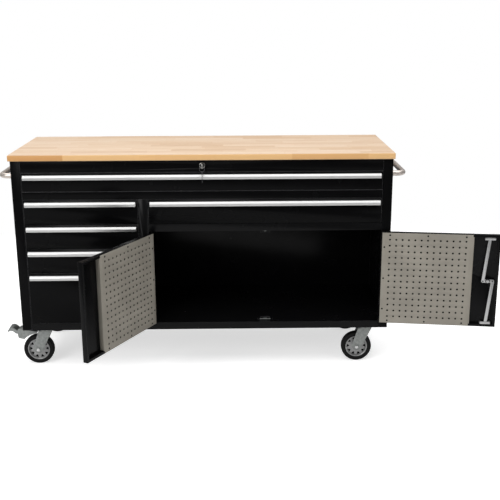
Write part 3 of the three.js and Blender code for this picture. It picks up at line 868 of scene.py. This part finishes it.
def turn_handle():
    """The outside handle: a rose, a neck and a long grip."""
    z = LATCH["z"]
    outer = DOOR["outer"]
    plate = [(0, outer - 6), (13, outer - 6), (15, outer - 4.5), (15, outer - 0.3), (0, outer - 0.3)]
    rose = lathe(plate, "Y", (latch_x, 0, z), 48)
    waist = [(0, outer - 20), (5.6, outer - 20), (5.2, outer - 12), (6, outer - 6), (0, outer - 6)]
    neck = lathe(waist, "Y", (latch_x, 0, z), 36)
    spindle = disc(4, (outer - 0.5, outer + 11.7), "Y", (latch_x, 0, z), 0.2, 24)
    bar = [
        (z - 35, latch_x - 5), (z - 35, latch_x + 5), (z, latch_x + 6, 30),
        (z + 35, latch_x + 5), (z + 35, latch_x - 5), (z, latch_x - 6, 30),
    ]
    grip = prism(rounded(bar, 4.8, 5), "Y", (outer - 24, outer - 15), 2.5, 4)
    piece(
        "latch_grip", [rose, neck, spindle, grip], NICKEL, "latch", RIGHT_DOOR,
        stands_for=["latch_turn_handle"],
    )


latch_cam()
latch_rod(1, "upper")
latch_rod(-1, "lower")
rod_guide(1, "upper")
rod_guide(-1, "lower")
turn_handle()


# Casters, each in its own frame: swivel axis at x = y = 0, wheel trailing toward -X


CASTER = {"trail": 35, "wheel": 63.5, "half": 16, "rim": 45.7, "cheek": 19, "thick": 3}
AXLE = (-CASTER["trail"], 0, CASTER["wheel"])


def caster_frame(name):
    low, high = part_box(f"{name}_caster_plate")
    return Matrix.Translation(Vector(((low.x + high.x) / 2, (low.y + high.y) / 2, 0)))


def caster_plate(name, place):
    high = 166.7
    half_x, half_y = 52, 42
    corners = [(-half_x, -half_y), (half_x, -half_y), (half_x, half_y), (-half_x, half_y)]
    slots = []
    for sx in (-1, 1):
        for sy in (-1, 1):
            cx, cy = sx * 41, sy * 31
            slot = [(cx - 6, cy - 4), (cx + 6, cy - 4), (cx + 6, cy + 4), (cx - 6, cy + 4)]
            slots.append(rounded(slot, 3.9, 5))
    plate = moved(holed_sheet([rounded(corners, 6, 5), *slots], 4, 0.5), (0, 0, high - 2))
    bearing = [(0, 156.8), (24, 156.8), (26, 158.4), (26, 161), (23, 162.8), (0, 162.8)]
    race = lathe(bearing, "Z", (0, 0, 0), 56)
    bolts = []
    for sx in (-1, 1):
        for sy in (-1, 1):
            bolts.append(hex_head(6.5, (157.6, 162.5), "Z", (sx * 41, sy * 31, 0), 0.6))
    piece(
        f"{name}_mount_plate", [plate, race, *bolts], CASTER_STEEL, "cabinet", place,
        stands_for=[f"{name}_caster_plate"],
    )


def caster_fork(name, place):
    top = 156.4
    inner, outer = CASTER["cheek"], CASTER["cheek"] + CASTER["thick"]
    dish = [(0, top - 8), (29, top - 8), (30, top - 6.5), (30, top - 3), (27, top), (0, top)]
    cap = lathe(dish, "Z", (0, 0, 0), 64)
    crown = block((-30, -outer, top - 11), (26, outer, top - 7), 1.2, 3)
    z = CASTER["wheel"]
    x = AXLE[0]
    side = [
        (top - 8, -30, 4), (top - 8, 26, 4), (z + 5, x + 22.5, 16),
        (z - 13.5, x + 10, 9), (z - 13.5, x - 10, 9), (z + 5, x - 22.5, 16),
    ]
    cheeks = [prism(rounded(side, 4, 6), "Y", span, 0.6) for span in ((-outer, -inner), (inner, outer))]
    parts = [cap, crown, *cheeks]
    bolt = [disc(5.7, (-outer, outer), "Y", AXLE, 0.3, 24)]
    for way in (-1, 1):
        bolt.append(hex_head(7.5, sorted([way * outer, way * (outer + 4)]), "Y", AXLE, 1.6))
        parts.append(ring(10.5, 5, sorted([way * outer, way * (outer + 1)]), "Y", AXLE, 0.3, 32))
    piece(f"{name}_axle_bolt", bolt, HUB_STEEL, f"{name}_caster", place)
    piece(
        f"{name}_fork_body", parts, CASTER_STEEL, f"{name}_caster", place,
        stands_for=[f"{name}_caster_fork"],
    )


def caster_wheel(name, place):
    """A silver rim with ten wedge windows, a black disc behind them that paints shade into the windows, and
    a black tyre with rounded shoulders.
    """
    half, rim = CASTER["half"], CASTER["rim"]
    windows = []
    for k in range(10):
        turn = 2 * math.pi * k / 10
        wedge = []
        for radius, swing in ((29, -0.06), (40, -0.19), (40, 0.19), (29, 0.06)):
            wedge.append((radius * math.cos(turn + swing), radius * math.sin(turn + swing)))
        windows.append(rounded(wedge, 1.6, 3))
    web = turned(holed_sheet([circle(0, 0, 42, 72), *windows], 9, 0.8), 90, "X")
    lip = [
        (40, -5), (41.5, -half + 2.5), (43, -half + 1.6), (rim, -half + 2),
        (rim, half - 2), (43, half - 1.6), (41.5, half - 2.5), (40, 5),
    ]
    flange = lathe(lip, "Y", (0, 0, 0), 72, 0.5)
    barrel = [(6.4, -17), (13, -17), (15, -15), (16.5, -5), (16.5, 5), (15, 15), (13, 17), (6.4, 17)]
    hub = lathe(barrel, "Y", (0, 0, 0), 48, 0.4)
    # A black disc behind the windows: painted shade standing in for the shadow deep inside them.
    window_shade_disc = disc(40.6, (-2.5, 2.5), "Y", AXLE, 0.2, 64)
    piece(f"{name}_window_painted_shade", window_shade_disc, INNER_BLACK, f"{name}_wheel", place)
    at = [moved(part, AXLE) for part in (web, flange, hub)]
    piece(
        f"{name}_rim_disc", at, WHEEL, f"{name}_wheel", place,
        stands_for=[f"{name}_wheel_rim"],
    )
    wheel = CASTER["wheel"]
    profile = [(46.3, -half + 2), (50, -half + 0.6)]
    for k in range(7):
        a = -math.pi / 2 + math.pi / 2 * k / 6
        profile.append((wheel - 7 + 7 * math.cos(a), -half + 7 + 7 * math.sin(a)))
    profile += [(wheel, -3.4), (wheel - 1.2, -2.8), (wheel - 1.2, -2.0), (wheel, -1.4)]
    profile += [(r, -h) for r, h in reversed(profile)]
    tyre = lathe(profile, "Y", AXLE, 112)
    piece(
        f"{name}_tyre_ring", tyre, RUBBER, f"{name}_wheel", place,
        stands_for=[f"{name}_wheel_tyre"],
    )


for name in ["front_left", "rear_left", "front_right", "rear_right"]:
    place = caster_frame(name)
    caster_plate(name, place)
    caster_fork(name, place)
    caster_wheel(name, place)
for name in ["front_left", "rear_left"]:
    keep(f"{name}_brake_pedal", CASTER_STEEL, 1.4, 3)


# Floor, light and camera


FLOOR_RADIUS = 2.7


def floor():
    mesh = bmesh.new()
    bmesh.ops.create_circle(mesh, cap_ends=True, segments=128, radius=FLOOR_RADIUS)
    data = bpy.data.meshes.new("floor")
    mesh.to_mesh(data)
    mesh.free()
    material, shader = new_material("pale_floor", (0.8, 0.8, 0.8), 0.9, 0, 0.1)
    path = node(material, "ShaderNodeLightPath")
    glow = maths(material, "MULTIPLY", path.outputs["Is Camera Ray"], 0.62)
    shader.inputs["Emission Color"].default_value = (1, 1, 1, 1)
    link(material, glow, shader.inputs["Emission Strength"])
    data.materials.append(material)
    made = bpy.data.objects.new("floor", data)
    bpy.context.scene.collection.objects.link(made)
    made.location = (0, 0, -0.0005)


def area_light(name, place, target, size, power):
    data = bpy.data.lights.new(name, "AREA")
    data.shape = "RECTANGLE"
    data.size, data.size_y = size
    data.energy = power
    made = bpy.data.objects.new(name, data)
    bpy.context.scene.collection.objects.link(made)
    made.location = place
    aim = Vector(target) - Vector(place)
    made.rotation_euler = aim.to_track_quat("-Z", "Y").to_euler()


def world():
    made = bpy.data.worlds.new("studio")
    bpy.context.scene.world = made
    made.use_nodes = True
    tree = made.node_tree
    light = tree.nodes["Background"]
    light.inputs["Color"].default_value = (1, 1, 1, 1)
    light.inputs["Strength"].default_value = 0.2
    seen = tree.nodes.new("ShaderNodeBackground")
    seen.inputs["Color"].default_value = (1, 1, 1, 1)
    seen.inputs["Strength"].default_value = 1.0
    path = tree.nodes.new("ShaderNodeLightPath")
    either = tree.nodes.new("ShaderNodeMixShader")
    tree.links.new(path.outputs["Is Camera Ray"], either.inputs["Fac"])
    tree.links.new(light.outputs["Background"], either.inputs[1])
    tree.links.new(seen.outputs["Background"], either.inputs[2])
    tree.links.new(either.outputs["Shader"], tree.nodes["World Output"].inputs["Surface"])


def camera():
    """The viewing angle, from the middle of the worktop's upper front edge, in worktop widths."""
    width = top_high.x - top_low.x
    edge = Vector(((top_low.x + top_high.x) / 2, top_low.y, top_high.z))
    yaw, pitch, roll = math.radians(0.7742), math.radians(15.5696), math.radians(0.2508)
    forward = Vector((math.sin(yaw) * math.cos(pitch), math.cos(yaw) * math.cos(pitch), -math.sin(pitch)))
    right = Vector((math.cos(yaw), -math.sin(yaw), 0))
    down = forward.cross(right)
    across = right * math.cos(roll) + down * math.sin(roll)
    below = down * math.cos(roll) - right * math.sin(roll)
    data = bpy.data.cameras.new("camera")
    data.lens = 62.05
    data.sensor_width = 36
    data.clip_end = 100
    made = bpy.data.objects.new("camera", data)
    bpy.context.scene.collection.objects.link(made)
    turn = Matrix((across, -below, -forward)).transposed()
    position = edge + Vector((0.09293, -2.20095, 0.35703)) * width
    made.matrix_world = Matrix.Translation(position) @ turn.to_4x4()
    bpy.context.scene.camera = made


floor()
world()
bpy.context.scene.view_settings.view_transform = "Standard"
area_light("overhead", (0, -0.2, 3.6), (0, -0.1, 0.4), (6, 5), 200)
area_light("front_left", (-3.4, -4.2, 2.8), (0, 0, 0.4), (3, 2.4), 110)
area_light("front_right", (3.6, -4.0, 2.2), (0, 0, 0.4), (2, 2), 10)
camera()
